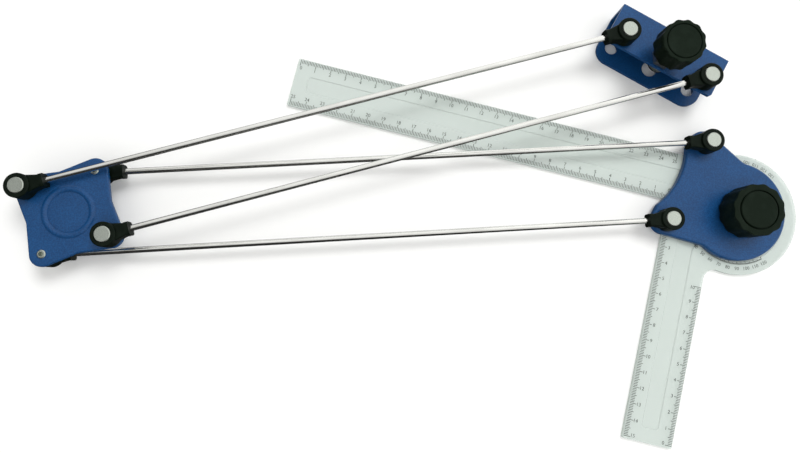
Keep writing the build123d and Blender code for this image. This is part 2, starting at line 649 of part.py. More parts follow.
with BuildPart() as scale:
    with BuildSketch(scale_plane):
        add(scale_outline.sketch)
    extrude(amount=SCALE_T)
    chamfer(scale.faces().sort_by(Axis.Z)[-1].edges(), SCALE_EDGE)
    with BuildSketch(scale_plane.offset(SCALE_T)):
        add(scale_channels.sketch)
    extrude(amount=-CHANNEL_DEPTH, taper=CHANNEL_FLARE, mode=Mode.SUBTRACT)
    with BuildSketch(scale_plane):
        Circle(FLANGE_R + FLANGE_GAP)
    extrude(amount=RECESS_TOP_Z - TABLE_Z, mode=Mode.SUBTRACT)
    with BuildSketch(scale_plane):
        Circle(BUSHING_R)
    extrude(amount=SCALE_T, mode=Mode.SUBTRACT)
scale.part.label = "scale"
export_step(scale.part, "parts/scale.step")

with BuildPart() as scale_bushing:
    with BuildSketch(standing(HUB, RECESS_TOP_Z)):
        Circle(BUSHING_R)
        Circle(HUB_R + THREAD_GAP, mode=Mode.SUBTRACT)
    extrude(amount=SCALE_TOP_Z - RECESS_TOP_Z)
scale_bushing.part.label = "scale_bushing"
export_step(scale_bushing.part, "parts/scale_bushing.step")
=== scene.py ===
"""Looks of the mini drafter: finishes for the carried-over nodes, its two knobs and the scale's marks.

The frame is in metres, with +Z up. Sizes in the classes are in millimetres, as on a workshop drawing,
and places come from the frame: a pivot from the box of its pins, a level from the box of the piece there.
"""
import json
import logging
from contextlib import contextmanager
from dataclasses import dataclass
from enum import Enum
from math import atan2, cos, hypot, pi, radians, sin, tau
from typing import Callable, Iterator, Sequence

import bmesh
import bpy
from mathutils import Euler, Matrix, Vector


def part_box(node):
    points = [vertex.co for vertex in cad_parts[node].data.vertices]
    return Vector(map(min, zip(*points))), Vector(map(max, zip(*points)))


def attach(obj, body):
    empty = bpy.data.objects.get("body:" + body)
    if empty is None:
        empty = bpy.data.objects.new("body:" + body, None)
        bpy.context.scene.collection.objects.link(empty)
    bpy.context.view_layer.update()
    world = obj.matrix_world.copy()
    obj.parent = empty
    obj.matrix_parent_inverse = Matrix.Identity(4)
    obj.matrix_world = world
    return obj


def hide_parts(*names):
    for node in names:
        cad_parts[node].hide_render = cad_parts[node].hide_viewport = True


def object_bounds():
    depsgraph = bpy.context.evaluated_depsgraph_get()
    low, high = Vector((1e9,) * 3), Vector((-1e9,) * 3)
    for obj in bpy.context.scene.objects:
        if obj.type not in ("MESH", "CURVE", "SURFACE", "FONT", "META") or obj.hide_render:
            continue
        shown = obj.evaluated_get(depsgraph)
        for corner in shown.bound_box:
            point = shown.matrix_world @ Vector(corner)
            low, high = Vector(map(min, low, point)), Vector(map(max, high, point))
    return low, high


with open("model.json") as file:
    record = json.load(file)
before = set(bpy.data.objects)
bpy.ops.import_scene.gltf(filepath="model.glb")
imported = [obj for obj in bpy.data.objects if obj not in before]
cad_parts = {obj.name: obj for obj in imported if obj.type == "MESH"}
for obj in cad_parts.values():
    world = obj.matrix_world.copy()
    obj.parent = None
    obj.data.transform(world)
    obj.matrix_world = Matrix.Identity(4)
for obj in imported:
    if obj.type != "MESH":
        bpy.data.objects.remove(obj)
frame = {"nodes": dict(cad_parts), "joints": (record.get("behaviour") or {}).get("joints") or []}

CAD_BOX = [list(corner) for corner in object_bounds()]

MM = 0.001
WELD = 0.002 * MM

logging.basicConfig(level=logging.INFO, format="%(message)s")
log = logging.getLogger("drafter")


class Slot(str, Enum):
    """The record's material slots."""

    ENAMEL = "blue_enamel"
    ROD = "bright_rod"
    PIN = "brushed_pin"
    ZINC = "zinc_steel"
    BRASS = "brass"
    RUBBER = "rubber"
    NYLON = "nylon"
    MOULDED = "black_plastic"
    KNOB = "knob_plastic"
    ACRYLIC = "clear_acrylic"


# ---------------------------------------------------------------- shader maths


class Signal:
    """A node's output that takes part in Python expressions."""

    def __init__(self, board: "NodeBoard", socket: bpy.types.NodeSocket) -> None:
        """Keeps the socket and the board that its nodes are added to."""
        self.board = board
        self.socket = socket

    def _math(self, operation: str, first: "Signal | float", second: "Signal | float") -> "Signal":
        """Adds one Math node."""
        return self.board.add("ShaderNodeMath", {"operation": operation}, {0: first, 1: second})

    def __add__(self, other: "Signal | float") -> "Signal":
        """Sum."""
        return self._math("ADD", self, other)

    __radd__ = __add__

    def __sub__(self, other: "Signal | float") -> "Signal":
        """Difference."""
        return self._math("SUBTRACT", self, other)

    def __rsub__(self, other: "Signal | float") -> "Signal":
        """Difference from a number."""
        return self._math("SUBTRACT", other, self)

    def __mul__(self, other: "Signal | float") -> "Signal":
        """Product."""
        return self._math("MULTIPLY", self, other)

    __rmul__ = __mul__


class NodeBoard:
    """The node tree of one material or world."""

    def __init__(self, owner: bpy.types.Material | bpy.types.World) -> None:
        """Empties the owner's tree.

        Args:
            owner: the material or world that is dressed.
        """
        owner.use_nodes = True
        self.tree = owner.node_tree
        self.tree.nodes.clear()

    def add(
        self,
        kind: str,
        settings: dict[str, object] | None = None,
        inputs: dict[int | str, "Signal | float | Sequence[float]"] | None = None,
        output: int | str = 0,
    ) -> Signal:
        """Adds one node.

        Args:
            kind: the node's type.
            settings: its properties, set first.
            inputs: values or links of its sockets, by name or number.
            output: the output that is returned.

        Returns:
            The chosen output.
        """
        node = self.tree.nodes.new(kind)
        for name, value in (settings or {}).items():
            setattr(node, name, value)
        for name, value in (inputs or {}).items():
            if isinstance(value, Signal):
                self.tree.links.new(value.socket, node.inputs[name])
            else:
                node.inputs[name].default_value = value
        return Signal(self, node.outputs[output] if node.outputs else None)

    def place(self, turn: float = 0.0, stretch: Sequence[float] = (1, 1, 1)) -> Signal:
        """Object coordinates in metres, turned about Z and then stretched."""
        coords = self.add("ShaderNodeTexCoord", output="Object")
        turned = self.add("ShaderNodeMapping", inputs={"Vector": coords, "Rotation": (0, 0, -turn)})
        return self.add("ShaderNodeMapping", inputs={"Vector": turned, "Scale": tuple(stretch)})

    def noise(self, coords: Signal, grain: float, detail: float = 2.0, roughness: float = 0.5) -> Signal:
        """Noise from 0 to 1 whose features are about `grain` millimetres wide."""
        inputs = {"Vector": coords, "Scale": 1 / (grain * MM), "Detail": detail, "Roughness": roughness}
        return self.add("ShaderNodeTexNoise", inputs=inputs)

    def cells(self, coords: Signal, grain: float) -> Signal:
        """Soft cells about `grain` millimetres wide, 0 in their middles."""
        settings = {"feature": "SMOOTH_F1"}
        inputs = {"Vector": coords, "Scale": 1 / (grain * MM), "Smoothness": 0.6}
        return self.add("ShaderNodeTexVoronoi", settings, inputs, "Distance")

    def span(self, value: Signal, low: float, high: float, start: float = 0.0, end: float = 1.0) -> Signal:
        """Maps a range of values onto start to end, and holds the ends."""
        inputs = {"Value": value, "From Min": low, "From Max": high, "To Min": start, "To Max": end}
        return self.add("ShaderNodeMapRange", inputs=inputs)

    def blend(self, amount: Signal, first: Sequence[float], second: Sequence[float]) -> Signal:
        """A colour between two colours."""
        settings = {"data_type": "RGBA"}
        inputs = {0: amount, 6: (*first, 1.0), 7: (*second, 1.0)}
        return self.add("ShaderNodeMix", settings, inputs, 2)

    def bump(self, height: Signal, depth: float, strength: float = 1.0) -> Signal:
        """A normal from a height of 0 to 1, `depth` millimetres deep."""
        inputs = {"Height": height, "Distance": depth * MM, "Strength": strength}
        return self.add("ShaderNodeBump", inputs=inputs)

    def surface(self, inputs: dict[int | str, "Signal | float | Sequence[float]"]) -> Signal:
        """A Principled surface."""
        return self.add("ShaderNodeBsdfPrincipled", inputs=inputs)

    def show(self, shader: Signal, kind: str = "ShaderNodeOutputMaterial") -> None:
        """Links the shader to the tree's output."""
        self.add(kind, inputs={"Surface": shader})


# ---------------------------------------------------------------- finishes


@dataclass(frozen=True)
class Finish:
    """One finish: a name and a way to build its material."""

    name: str
    slot: Slot

    def dress(self, board: NodeBoard) -> Signal:
        """Builds the shader on an empty board."""
        raise NotImplementedError

    def material(self) -> bpy.types.Material:
        """The finish's material, built once."""
        made = bpy.data.materials.get(self.name)
        if made is None:
            made = bpy.data.materials.new(self.name)
            board = NodeBoard(made)
            board.show(self.dress(board))
        return made


@dataclass(frozen=True)
class HammeredEnamel(Finish):
    """Stoved enamel with a fine hammered skin."""

    # The darker blue is painted shade for the hollows of the hammered skin.
    deep: tuple[float, float, float] = (0.001, 0.030, 0.105)
    full: tuple[float, float, float] = (0.005, 0.065, 0.200)
    cell: float = 0.8
    skin: float = 0.05

    def dress(self, board: NodeBoard) -> Signal:
        """Blue with painted shade, darker in the hollows of its hammered skin, and painted highlight, lighter
        on its crests, over a random cloud of tone.
        """
        place = board.place()
        cells = board.cells(place, self.cell)
        grain = board.noise(place, 0.35, 3.0, 0.6)
        cloud = board.noise(place, 14.0, 3.0)
        height = cells * 0.65 + grain * 0.5
        # Painted shade and highlight: the tone follows the skin's height, darker in hollows and lighter on
        # crests; the cloud is real random tone.
        hollow_shade_and_cloud = board.span(height, 0.28, 0.72) * 0.75 + board.span(cloud, 0.3, 0.7) * 0.25
        return board.surface({
            "Base Color": board.blend(hollow_shade_and_cloud, self.deep, self.full),
            "Roughness": board.span(grain, 0.3, 0.7, 0.30, 0.46),
            "Specular IOR Level": 0.36,
            "Coat Weight": 0.10,
            "Coat Roughness": 0.25,
            "Normal": board.bump(height, self.skin),
        })


@dataclass(frozen=True)
class BrightSteel(Finish):
    """Drawn and polished rod, with faint draw lines along it."""

    turn: float = 0.0
    colour: tuple[float, float, float] = (0.80, 0.80, 0.77)
    worn: tuple[float, float, float] = (0.66, 0.66, 0.63)

    def dress(self, board: NodeBoard) -> Signal:
        """Mirror steel whose lines run the way the rod lies."""
        along = board.place(self.turn, (0.03, 1.0, 1.0))
        lines = board.noise(along, 0.25, 2.0)
        smears = board.noise(board.place(self.turn, (0.2, 1.0, 1.0)), 5.0, 3.0)
        return board.surface({
            "Base Color": board.blend(board.span(smears, 0.35, 0.75), self.colour, self.worn),
            "Metallic": 1.0,
            "Roughness": board.span(smears, 0.3, 0.8, 0.10, 0.22),
            "Normal": board.bump(lines, 0.004),
        })


@dataclass(frozen=True)
class SatinSteel(Finish):
    """Turned or plated steel with a fine grain."""

    colour: tuple[float, float, float] = (0.62, 0.66, 0.60)
    shade: tuple[float, float, float] = (0.40, 0.44, 0.39)
    grain: float = 0.35
    rough: tuple[float, float] = (0.34, 0.55)
    depth: float = 0.03

    def dress(self, board: NodeBoard) -> Signal:
        """Metal mottled by its grain."""
        place = board.place()
        grain = board.noise(place, self.grain, 4.0, 0.65)
        return board.surface({
            "Base Color": board.blend(board.span(grain, 0.35, 0.65), self.shade, self.colour),
            "Metallic": 1.0,
            "Roughness": board.span(grain, 0.35, 0.65, *self.rough),
            "Normal": board.bump(grain, self.depth),
        })


@dataclass(frozen=True)
class MouldedPlastic(Finish):
    """Solid coloured plastic from a textured mould."""

    colour: tuple[float, float, float] = (0.0025, 0.0055, 0.0030)
    bloom: tuple[float, float, float] = (0.0065, 0.0110, 0.0070)
    grain: float = 0.25
    rough: tuple[float, float] = (0.38, 0.52)
    depth: float = 0.012
    shine: float = 0.09

    def dress(self, board: NodeBoard) -> Signal:
        """Even plastic with handling marks."""
        place = board.place()
        grain = board.noise(place, self.grain, 2.0, 0.6)
        marks = board.noise(place, 6.0, 4.0, 0.6)
        return board.surface({
            "Base Color": board.blend(board.span(marks, 0.45, 0.75), self.colour, self.bloom),
            "Roughness": board.span(marks, 0.35, 0.7, *self.rough),
            "Specular IOR Level": self.shine,
            "Normal": board.bump(grain, self.depth),
        })


@dataclass(frozen=True)
class ClearAcrylic(Finish):
    """Thin clear sheet with a green-grey cast."""

    cast: tuple[float, float, float] = (0.15, 0.22, 0.175)
    bloom: tuple[float, float, float] = (0.20, 0.28, 0.225)
    pass_tint: tuple[float, float, float] = (0.63, 0.74, 0.67)
    body: float = 0.45
    gloss: float = 0.6

    def dress(self, board: NodeBoard) -> Signal:
        """A film over what lies behind it, stronger at a glance."""
        place = board.place()
        haze = board.noise(place, 9.0, 3.0, 0.6)
        wipes = board.noise(place, 1.2, 2.0)
        skin = board.surface({
            "Base Color": board.blend(board.span(haze, 0.3, 0.7), self.cast, self.bloom),
            "Roughness": board.span(wipes, 0.3, 0.7, 0.06, 0.16),
            "Specular IOR Level": 0.5,
            "Normal": board.bump(haze, 0.02),
        })
        clear = board.add("ShaderNodeBsdfTransparent", inputs={"Color": (*self.pass_tint, 1.0)})
        edge = board.add("ShaderNodeLayerWeight", inputs={"Blend": 0.35}, output="Facing")
        amount = board.span(haze, 0.25, 0.75, self.body - 0.05, self.body + 0.07) + edge * self.gloss
        return board.add("ShaderNodeMixShader", inputs={0: amount, 1: clear, 2: skin})


@dataclass(frozen=True)
class PrintInk(Finish):
    """Printing ink, slightly worn."""

    colour: tuple[float, float, float] = (0.010, 0.014, 0.012)
    faded: tuple[float, float, float] = (0.075, 0.090, 0.080)

    def dress(self, board: NodeBoard) -> Signal:
        """Black ink that has gone grey in places."""
        wear = board.noise(board.place(), 3.0, 4.0, 0.7)
        return board.surface({
            "Base Color": board.blend(board.span(wear, 0.45, 0.7), self.colour, self.faded),
            "Roughness": 0.6,
        })


@dataclass(frozen=True)
class PaleFloor(Finish):
    """The studio's pale floor."""

    colour: tuple[float, float, float] = (0.93, 0.93, 0.92)

    def dress(self, board: NodeBoard) -> Signal:
        """Matt paper with the faintest cloud."""
        cloud = board.noise(board.place(), 160.0, 2.0)
        shade = tuple(value * 0.985 for value in self.colour)
        return board.surface({
            "Base Color": board.blend(cloud, self.colour, shade),
            "Roughness": 0.9,
            "Specular IOR Level": 0.0,
        })


ENAMEL = HammeredEnamel("hammered_blue_enamel", Slot.ENAMEL)
CAP_STEEL = SatinSteel("satin_cap_steel", Slot.PIN)
ZINC = SatinSteel("zinc_plate", Slot.ZINC, (0.50, 0.51, 0.52), (0.36, 0.37, 0.39), 0.6, (0.30, 0.48), 0.01)
BRASS = SatinSteel(
    "machined_brass", Slot.BRASS, (0.72, 0.50, 0.20), (0.52, 0.34, 0.12), 0.8, (0.28, 0.40), 0.01
)
EYE_PLASTIC = MouldedPlastic("moulded_black", Slot.MOULDED)
KNOB_PLASTIC = MouldedPlastic(
    "knob_black", Slot.KNOB, (0.0036, 0.0085, 0.0042), (0.0085, 0.0150, 0.0095), 0.3, (0.45, 0.60), 0.02
)
NYLON = MouldedPlastic(
    "natural_nylon", Slot.NYLON, (0.52, 0.52, 0.48), (0.60, 0.60, 0.57), 0.4, (0.40, 0.55), 0.01
)
RUBBER = MouldedPlastic(
    "pad_rubber", Slot.RUBBER, (0.010, 0.010, 0.010), (0.030, 0.030, 0.029), 0.3, (0.7, 0.9), 0.05
)
ACRYLIC = ClearAcrylic("clear_acrylic", Slot.ACRYLIC)
INK = PrintInk("graduation_ink", Slot.ACRYLIC)
FLOOR = PaleFloor("studio_floor", Slot.NYLON)


# ---------------------------------------------------------------- the workbench


class Bench:
    """Adds and shapes pieces, and leaves each one at the origin with its place in its mesh."""

    @staticmethod
    def clear() -> None:
        """Leaves edit mode and deselects everything."""
        if bpy.context.mode != "OBJECT":
            bpy.ops.object.mode_set(mode="OBJECT")
        bpy.ops.object.select_all(action="DESELECT")

    @staticmethod
    def hold(piece: bpy.types.Object) -> None:
        """Makes one piece the only selected one, and the active one."""
        Bench.clear()
        piece.select_set(True)
        bpy.context.view_layer.objects.active = piece

    @staticmethod
    @contextmanager
    def editing(piece: bpy.types.Object) -> Iterator[bpy.types.Object]:
        """Edit mode on one piece, for as long as the block lasts."""
        Bench.hold(piece)
        bpy.ops.object.mode_set(mode="EDIT")
        yield piece
        bpy.ops.object.mode_set(mode="OBJECT")

    @staticmethod
    def pick_points(piece: bpy.types.Object, test: Callable[[Vector], bool]) -> None:
        """Selects the points that pass a test, and nothing else.

        Args:
            piece: the piece in edit mode.
            test: takes a point's place.
        """
        bpy.ops.mesh.select_mode(type="VERT")
        bpy.ops.mesh.select_all(action="DESELECT")
        mesh = bmesh.from_edit_mesh(piece.data)
        for point in mesh.verts:
            if test(point.co):
                point.select_set(True)
        mesh.select_flush_mode()
        bmesh.update_edit_mesh(piece.data)

    @staticmethod
    def drawn(name: str, corners: Sequence[tuple[float, float]]) -> bpy.types.Object:
        """A line in the XZ plane, pulled corner by corner out of one point.

        Args:
            name: the piece's name.
            corners: (x, z) in millimetres.

        Returns:
            The line as a mesh of edges.
        """
        Bench.clear()
        start = Vector((corners[0][0], 0, corners[0][1])) * MM
        bpy.ops.mesh.primitive_plane_add(size=MM, location=start)
        piece = bpy.context.object
        piece.name = name
        bpy.ops.object.transform_apply()
        with Bench.editing(piece):
            bpy.ops.mesh.select_all(action="SELECT")
            bpy.ops.mesh.merge(type="CENTER")
            for (x0, z0), (x1, z1) in zip(corners, corners[1:]):
                step = Vector((x1 - x0, 0, z1 - z0)) * MM
                bpy.ops.mesh.extrude_region_move(TRANSFORM_OT_translate={"value": step})
        return piece

    @staticmethod
    def turned(name: str, corners: Sequence[tuple[float, float]], steps: int) -> bpy.types.Object:
        """A line from axis to axis, spun about Z into a closed body.

        Args:
            name: the piece's name.
            corners: (radius, height) in millimetres.
            steps: faces around the axis.

        Returns:
            The body, its axis on the origin.
        """
        piece = Bench.drawn(name, corners)
        with Bench.editing(piece):
            bpy.ops.mesh.select_all(action="SELECT")
            bpy.ops.mesh.spin(steps=steps, angle=tau, center=(0, 0, 0), axis=(0, 0, 1))
            bpy.ops.mesh.select_all(action="SELECT")
            bpy.ops.mesh.remove_doubles(threshold=WELD)
            bpy.ops.mesh.normals_make_consistent(inside=False)
        return piece

    @staticmethod
    def modify(piece: bpy.types.Object, kind: str, **settings: object) -> None:
        """Adds a modifier and applies it."""
        Bench.hold(piece)
        modifier = piece.modifiers.new(kind.lower(), kind)
        for name, value in settings.items():
            setattr(modifier, name, value)
        bpy.ops.object.modifier_apply(modifier=modifier.name)

    @staticmethod
    def round_edges(piece: bpy.types.Object, width: float, segments: int = 3, angle: float = 35.0) -> None:
        """Rounds every edge sharper than an angle in degrees, `width` millimetres across."""
        Bench.modify(
            piece,
            "BEVEL",
            width=width * MM,
            segments=segments,
            limit_method="ANGLE",
            angle_limit=radians(angle),
            use_clamp_overlap=True,
        )

    @staticmethod
    def settle(piece: bpy.types.Object, placing: Matrix) -> None:
        """Bakes a placing into the mesh, so that the object itself stays at the origin."""
        Bench.hold(piece)
        piece.matrix_world = placing @ piece.matrix_world
        bpy.ops.object.transform_apply(location=True, rotation=True, scale=True)

    @staticmethod
    def smooth(piece: bpy.types.Object, angle: float = 35.0) -> None:
        """Shades smooth across edges flatter than an angle in degrees."""
        Bench.hold(piece)
        bpy.ops.object.shade_smooth_by_angle(angle=radians(angle))

    @staticmethod
    def joined(pieces: Sequence[bpy.types.Object], name: str) -> bpy.types.Object:
        """Several meshes as one piece."""
        Bench.clear()
        for piece in pieces:
            piece.select_set(True)
        bpy.context.view_layer.objects.active = pieces[0]
        bpy.ops.object.join()
        whole = bpy.context.object
        whole.name = name
        return whole

    @staticmethod
    def hand_in(piece: bpy.types.Object, finish: Finish, body: str, *nodes: str) -> None:
        """Dresses a piece, sets it on its body and hides the nodes that it stands for."""
        piece.data.materials.clear()
        piece.data.materials.append(finish.material())
        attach(piece, body)
        if nodes:
            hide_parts(*nodes)
        log.info("%s: %d faces on %s", piece.name, len(piece.data.polygons), body)


# ---------------------------------------------------------------- places read from the frame


@dataclass(frozen=True)
class Span:
    """The box of a carried-over node."""

    node: str

    @property
    def low(self) -> Vector:
        """Lowest corner."""
        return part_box(self.node)[0]

    @property
    def high(self) -> Vector:
        """Highest corner."""
        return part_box(self.node)[1]

    @property
    def middle(self) -> Vector:
        """Middle of the box."""
        return (self.low + self.high) / 2


def pin_pair(node: str) -> tuple[Vector, Vector]:
    """The two axes of a pair of pins, at the box's middle height.

    Args:
        node: the node that holds both pins.

    Returns:
        The pin with the lower coordinate, then the other.
    """
    box = Span(node)
    size = box.high - box.low
    along = Vector((1, 0, 0)) if size.x > size.y else Vector((0, 1, 0))
    radius = min(size.x, size.y) / 2
    reach = along * (max(size.x, size.y) / 2 - radius)
    return box.middle - reach, box.middle + reach


# ---------------------------------------------------------------- knobs


@dataclass
class Knob:
    """A lobed knob with a closing disc in its top, on a vertical axis."""

    name: str
    body: str
    grip_radius: float
    cap_radius: float
    collar_radius: float
    collar_height: float
    bore_radius: float
    bore_depth: float
    grip_node: str
    cap_node: str
    lobes: int = 12
    steps_per_lobe: int = 10
    groove_width: float = 0.7
    rim_drop: float = 0.25
    hollow: float = 0.75
    groove_depth: float = 1.2
    edge: float = 1.2
    dish: float = 0.35
    underside_step: float = 0.5
    disc_steps: int = 96
    dish_rings: int = 5
    disc_edge: float = 0.18
    sharp: float = 40.0

    def placing(self) -> Matrix:
        """Where the knob's underside meets its axis."""
        box = Span(self.grip_node)
        return Matrix.Translation((box.middle.x, box.middle.y, box.low.z))

    def height(self) -> float:
        """Whole height in millimetres."""
        box = Span(self.grip_node)
        return (box.high.z - box.low.z) / MM

    def scallop(self, piece: bpy.types.Object) -> None:
        """Draws the grip in between its lobes, one phase of the lobe at a time."""
        steps = self.lobes * self.steps_per_lobe
        past_groove = self.cap_radius + self.groove_width + (self.grip_radius - self.cap_radius) * 0.3
        threshold = max(past_groove, self.collar_radius + 0.2) * MM
        with Bench.editing(piece):
            for phase in range(self.steps_per_lobe):
                wave = 0.5 + 0.5 * cos(tau * phase / self.steps_per_lobe)
                factor = 1 - self.hollow * wave / self.grip_radius
                Bench.pick_points(
                    piece,
                    lambda point: hypot(point.x, point.y) > threshold
                    and round(atan2(point.y, point.x) / tau * steps) % self.steps_per_lobe == phase,
                )
                bpy.ops.transform.resize(value=(factor, factor, 1), center_override=(0, 0, 0))

    def grip(self) -> bpy.types.Object:
        """The lobed body, with a ring groove around the seat of its disc."""
        height = self.height()
        base = self.collar_height
        under = base + self.underside_step
        groove = self.cap_radius + self.groove_width
        seat = height - self.groove_depth
        corners = [
            (0.0, self.bore_depth + base),
            (self.bore_radius, self.bore_depth + base),
            (self.bore_radius, 0.0),
            (self.collar_radius, 0.0),
            (self.collar_radius, under),
            (self.grip_radius - 2.2, under),
            (self.grip_radius - 0.5, base),
            (self.grip_radius, base + 0.8),
            (self.grip_radius, base + (height - base) * 0.35),
            (self.grip_radius, base + (height - base) * 0.7),
            (self.grip_radius, height),
            (groove, height),
            (groove, seat),
            (self.cap_radius - 0.6, seat),
            (0.0, seat),
        ]
        piece = Bench.turned(f"{self.name}_grip", corners, self.lobes * self.steps_per_lobe)
        self.scallop(piece)
        Bench.round_edges(piece, self.edge, 4, self.sharp)
        Bench.smooth(piece)
        return piece

    def disc(self) -> bpy.types.Object:
        """The disc that closes the top, dished towards its middle."""
        height = self.height()
        foot = height - self.groove_depth + 0.01
        top = height + self.rim_drop
        parts = [ring / self.dish_rings for ring in range(self.dish_rings)]
        dished = [(self.cap_radius * part, top - self.dish * (1 - part**2)) for part in parts]
        rim = [
            (self.cap_radius - 0.5, top),
            (self.cap_radius, top - 0.45),
            (self.cap_radius, foot),
            (0.0, foot),
        ]
        piece = Bench.turned(f"{self.name}_disc", dished + rim, self.disc_steps)
        Bench.round_edges(piece, self.disc_edge, 3, self.sharp)
        Bench.smooth(piece)
        return piece

    def build(self) -> None:
        """Makes both pieces and sets them on the knob's body."""
        for piece, node in ((self.grip(), self.grip_node), (self.disc(), self.cap_node)):
            Bench.settle(piece, self.placing())
            Bench.hand_in(piece, KNOB_PLASTIC, self.body, node)


# ---------------------------------------------------------------- scale


@dataclass
class Edge:
    """One graduated edge of the scale, in the scale's own plan."""

    name: str
    zero: tuple[float, float]
    along: tuple[float, float]
    inward: tuple[float, float]
    centimetres: int


@dataclass
class ScaleMarks:
    """Graduations and numbers on the upper face of the scale."""

    body: str = "scale"
    node: str = "scale"
    tilt: float = 15.5
    long_edge: float = 29.8
    short_edge: float = 45.1
    width: float = 31.4
    long_arm: float = 297.1
    short_arm: float = 153.7
    margin: float = 1.7
    foot: float = 0.35
    line: float = 0.34
    ink: float = 0.04
    mm_tick: float = 2.6
    half_tick: float = 3.4
    cm_tick: float = 4.2
    figure: float = 3.1
    figure_in: float = 6.0
    end_figure_in: float = 0.9
    dial_radius: float = 35.0
    dial_figure: float = 3.0
    dial_tick: tuple[float, float] = (30.4, 32.4)
    dial_half_tick: float = 0.6
    dial_degree: float = 1.1
    dial_turn: int = 10

    def placing(self) -> Matrix:
        """The scale's own plan, with the hub at its origin, on the upper face."""
        hub = next(joint for joint in frame["joints"] if joint["child"] == self.body)["pos_m"]
        top = Span(self.node).high.z
        return Matrix.Translation((hub[0], hub[1], top)) @ Matrix.Rotation(radians(self.tilt), 4, "Z")

    def edges(self) -> list[Edge]:
        """The four graduated edges."""
        inner_x = -self.short_edge + self.width
        inner_y = self.long_edge - self.width
        far_x = -self.long_arm + self.margin
        far_y = -self.short_arm + self.margin
        return [
            Edge("long_outer", (far_x, self.long_edge), (1, 0), (0, -1), 25),
            Edge("long_inner", (-self.short_edge - self.margin * 0.2, inner_y), (-1, 0), (0, 1), 25),
            Edge("short_outer", (-self.short_edge, far_y + 150), (0, -1), (1, 0), 15),
            Edge("short_inner", (inner_x, far_y), (0, 1), (-1, 0), 10),
        ]

    def line_at(self, length: float, offset: float = 0.0) -> bpy.types.Object:
        """One inked line across the edge at x = offset, its foot on the edge."""
        Bench.clear()
        size = (self.line * MM, length * MM, self.ink * MM)
        middle = (offset * MM, (length / 2 + self.foot) * MM, size[2] / 2)
        bpy.ops.mesh.primitive_cube_add(size=1, location=middle)
        mark = bpy.context.object
        mark.dimensions = size
        bpy.ops.object.transform_apply(location=True, rotation=True, scale=True)
        return mark

    def number_at(self, text: str, size: float) -> bpy.types.Object:
        """A number as a thin solid, centred on the origin and upright along Y."""
        Bench.clear()
        bpy.ops.object.text_add()
        words = bpy.context.object
        words.data.body = text
        words.data.size = size * MM
        words.data.align_x = "CENTER"
        words.data.align_y = "CENTER"
        words.data.resolution_u = 3
        words.data.extrude = self.ink * MM / 2
        bpy.ops.object.convert(target="MESH")
        number = bpy.context.object
        number.location.z = self.ink * MM / 2
        bpy.ops.object.transform_apply(location=True, rotation=True, scale=True)
        return number

    def graduate(self, edge: Edge) -> None:
        """Draws one edge: a decade of lines repeated along it, its last line, and its numbers."""
        lengths = [self.cm_tick] + [self.mm_tick] * 4 + [self.half_tick] + [self.mm_tick] * 4
        first = [self.line_at(length, step) for step, length in enumerate(lengths)]
        decade = Bench.joined(first, edge.name)
        Bench.modify(
            decade,
            "ARRAY",
            count=edge.centimetres,
            use_relative_offset=False,
            use_constant_offset=True,
            constant_offset_displace=(10 * MM, 0, 0),
        )
        last = self.line_at(self.cm_tick, edge.centimetres * 10)
        lines = Bench.joined([decade, last], f"lines_{edge.name}")
        axes = Matrix((
            (edge.along[0], edge.inward[0], 0, edge.zero[0] * MM),
            (edge.along[1], edge.inward[1], 0, edge.zero[1] * MM),
            (0, 0, 1, 0),
            (0, 0, 0, 1),
        ))
        Bench.settle(lines, axes)
        with Bench.editing(lines):
            bpy.ops.mesh.select_all(action="SELECT")
            bpy.ops.mesh.normals_make_consistent(inside=False)
        numbers = []
        for count in range(edge.centimetres + 1):
            number = self.number_at(str(count), self.figure)
            shift = -self.end_figure_in if count == edge.centimetres else 0.0 if count else self.end_figure_in
            x, y = (
                zero + along * (count * 10 + shift) + inward * self.figure_in
                for zero, along, inward in zip(edge.zero, edge.along, edge.inward)
            )
            Bench.settle(number, Matrix.Translation((x * MM, y * MM, 0)))
            numbers.append(number)
        for piece in (lines, Bench.joined(numbers, f"numbers_{edge.name}")):
            Bench.settle(piece, self.placing())
            Bench.hand_in(piece, INK, self.body)

    def dial(self) -> None:
        """Draws the protractor: a line each degree, and a number each ten, on both sides of the disc."""
        inner, outer = self.dial_tick
        quarter = Matrix.Rotation(pi / 2, 4, "Z")
        marks = []
        for side, last in ((-1, 120), (1, 130)):
            for degree in range(10, last + 1):
                short = self.dial_degree if degree % 5 else self.dial_half_tick if degree % 10 else 0.0
                start = inner + short
                turn = Matrix.Rotation(radians(side * (180 - degree) + self.dial_turn), 4, "Z")
                mark = self.line_at(outer - start)
                out = Matrix.Translation((0, (start - self.foot) * MM, 0))
                Bench.settle(mark, turn @ quarter.inverted() @ out)
                marks.append(mark)
                if degree % 10 == 0:
                    number = self.number_at(str(degree), self.dial_figure)
                    out = Matrix.Translation((0, -self.dial_radius * MM, 0))
                    Bench.settle(number, turn @ quarter @ out)
                    marks.append(number)
        dial = Bench.joined(marks, "protractor_dial")
        Bench.settle(dial, self.placing())
        Bench.hand_in(dial, INK, self.body)

    def build(self) -> None:
        """Draws the four edges and the dial."""
        for edge in self.edges():
            self.graduate(edge)
        self.dial()


# ---------------------------------------------------------------- carried-over nodes


